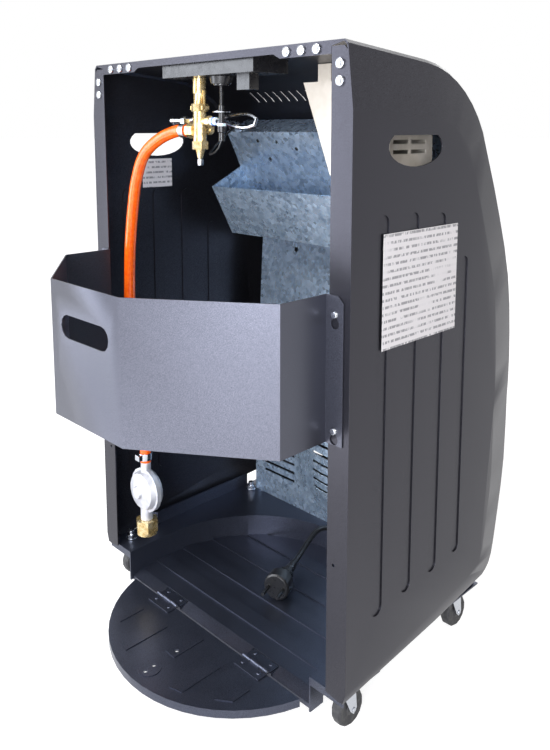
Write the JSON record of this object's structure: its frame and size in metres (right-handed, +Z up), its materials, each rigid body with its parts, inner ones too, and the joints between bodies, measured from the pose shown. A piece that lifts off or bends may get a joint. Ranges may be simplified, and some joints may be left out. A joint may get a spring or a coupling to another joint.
{
  "type": "portable gas cabinet heater",
  "caption": "Wheeled steel cabinet heater for bottled gas, with an open back, hinged bottle flap, lift-off bottle guard, gas hose with regulator, and a ceramic burner behind a wire guard.",
  "frame": {"origin": "floor level, under the middle of the box that holds the heater without its hose and lead", "axes": "+Z up, -Y towards the heated front, +Y towards the open back, +X to the right seen from the front"},
  "size_m": [0.4208, 0.472, 0.6788],
  "materials": {
    "cabinet": "charcoal powder coat, satin",
    "guard": "blue-grey metallic powder coat",
    "base": "dark blue-grey powder coat",
    "zinc": "galvanised sheet with spangle",
    "steel": "bright zinc plate",
    "brass": "machined",
    "diecast": "cast, light grey",
    "black": "moulded",
    "rubber": "tread",
    "hose": "orange, smooth",
    "cord": "black sheath",
    "ceramic": "fired, pale",
    "label": "plain grey-white film",
    "cream": "cream paint"
  },
  "bodies": {
    "cabinet": {"side_panel_left": "cabinet", "side_panel_right": "cabinet", "roof_panel": "cabinet", "front_panel": "cabinet", "side_label": "label", "base_tray": "base", "caster_stem_back_left": "steel", "caster_stem_back_right": "steel", "caster_stem_front_left": "steel", "caster_stem_front_right": "steel", "guard_screw_left_high": "steel", "guard_screw_left_low": "steel", "guard_screw_right_high": "steel", "guard_screw_right_low": "steel", "base_leaf_left": "base", "hinge_pin_left": "steel", "base_leaf_right": "base", "hinge_pin_right": "steel", "heat_shield_lower": "zinc", "heat_shield_upper": "zinc", "burner_hood": "zinc", "burner_box": "zinc", "ceramic_plaques": "ceramic", "pilot_assembly": "steel", "wire_guard": "steel", "fan_motor": "black", "control_bezel": "black", "valve_body": "brass", "piezo_body": "black", "fan_switch": "black", "wiring_box": "cream", "feed_pipe": "steel", "gas_hose": "hose", "hose_clamp_upper": "steel", "hose_clamp_lower": "steel", "regulator": "diecast", "ignition_lead": "cord", "mains_cord": "cord", "cord_coil": "cord", "cord_tail": "cord", "cord_gland": "black", "plug": "cord"},
    "caster_back_left": {"caster_fork_back_left": "steel"},
    "wheel_back_left": {"caster_wheel_back_left": "rubber"},
    "caster_back_right": {"caster_fork_back_right": "steel"},
    "wheel_back_right": {"caster_wheel_back_right": "rubber"},
    "caster_front_left": {"caster_fork_front_left": "steel"},
    "wheel_front_left": {"caster_wheel_front_left": "rubber"},
    "caster_front_right": {"caster_fork_front_right": "steel"},
    "wheel_front_right": {"caster_wheel_front_right": "rubber"},
    "guard": {"bottle_guard": "guard"},
    "flap": {"bottle_flap": "base", "flap_leaf_left": "base", "flap_leaf_right": "base"},
    "fan": {"fan_impeller": "black"},
    "igniter": {"piezo_button": "black"},
    "rocker": {"fan_rocker": "black"},
    "coupling_nut": {"regulator_nut": "brass"},
    "spindle": {"valve_spindle": "steel"},
    "knob": {"gas_knob": "black"}
  },
  "joints": [
    {"name": "swivel_back_left", "type": "hinge", "parent": "cabinet", "child": "caster_back_left", "pos_m": [-0.188, 0.06595, 0.042], "axis": [0, 0, 1], "continuous": true},
    {"name": "roll_back_left", "type": "hinge", "parent": "caster_back_left", "child": "wheel_back_left", "pos_m": [-0.188, 0.05995, 0.019], "axis": [1, 0, 0], "continuous": true},
    {"name": "swivel_back_right", "type": "hinge", "parent": "cabinet", "child": "caster_back_right", "pos_m": [0.188, 0.06595, 0.042], "axis": [0, 0, 1], "continuous": true},
    {"name": "roll_back_right", "type": "hinge", "parent": "caster_back_right", "child": "wheel_back_right", "pos_m": [0.188, 0.05995, 0.019], "axis": [1, 0, 0], "continuous": true},
    {"name": "swivel_front_left", "type": "hinge", "parent": "cabinet", "child": "caster_front_left", "pos_m": [-0.178, -0.14605, 0.042], "axis": [0, 0, 1], "continuous": true},
    {"name": "roll_front_left", "type": "hinge", "parent": "caster_front_left", "child": "wheel_front_left", "pos_m": [-0.178, -0.15205, 0.019], "axis": [1, 0, 0], "continuous": true},
    {"name": "swivel_front_right", "type": "hinge", "parent": "cabinet", "child": "caster_front_right", "pos_m": [0.178, -0.14605, 0.042], "axis": [0, 0, 1], "continuous": true},
    {"name": "roll_front_right", "type": "hinge", "parent": "caster_front_right", "child": "wheel_front_right", "pos_m": [0.178, -0.15205, 0.019], "axis": [1, 0, 0], "continuous": true},
    {"name": "guard_lift", "type": "slide", "parent": "cabinet", "child": "guard", "axis": [0, 0, 1], "range_m": [0, 0.0085]},
    {"name": "flap_hinge", "type": "hinge", "parent": "cabinet", "child": "flap", "pos_m": [0, 0.08645, 0.0207], "axis": [1, 0, 0], "range_deg": [0, 90]},
    {"name": "fan_spin", "type": "hinge", "parent": "cabinet", "child": "fan", "pos_m": [0, -0.18305, 0.138], "axis": [0, 1, 0], "continuous": true},
    {"name": "knob_push", "type": "slide", "parent": "cabinet", "child": "spindle", "axis": [0, 0, -1], "range_m": [0, 0.002], "stiffness_N_per_m": 1200, "springref_m": -0.002},
    {"name": "knob_turn", "type": "hinge", "parent": "spindle", "child": "knob", "pos_m": [0.0365, 0.05995, 0.668], "axis": [0, 0, 1], "range_deg": [0, 180]},
    {"name": "igniter_push", "type": "slide", "parent": "cabinet", "child": "igniter", "axis": [0, 0, -1], "range_m": [0, 0.003], "stiffness_N_per_m": 600, "springref_m": -0.002},
    {"name": "rocker_tip", "type": "hinge", "parent": "cabinet", "child": "rocker", "pos_m": [-0.043, 0.05995, 0.6585], "axis": [-1, 0, 0], "range_deg": [0, 12]},
    {"name": "nut_turn", "type": "hinge", "parent": "cabinet", "child": "coupling_nut", "pos_m": [0.143, 0.07095, 0.095], "axis": [0, 0, 1], "continuous": true}
  ]
}
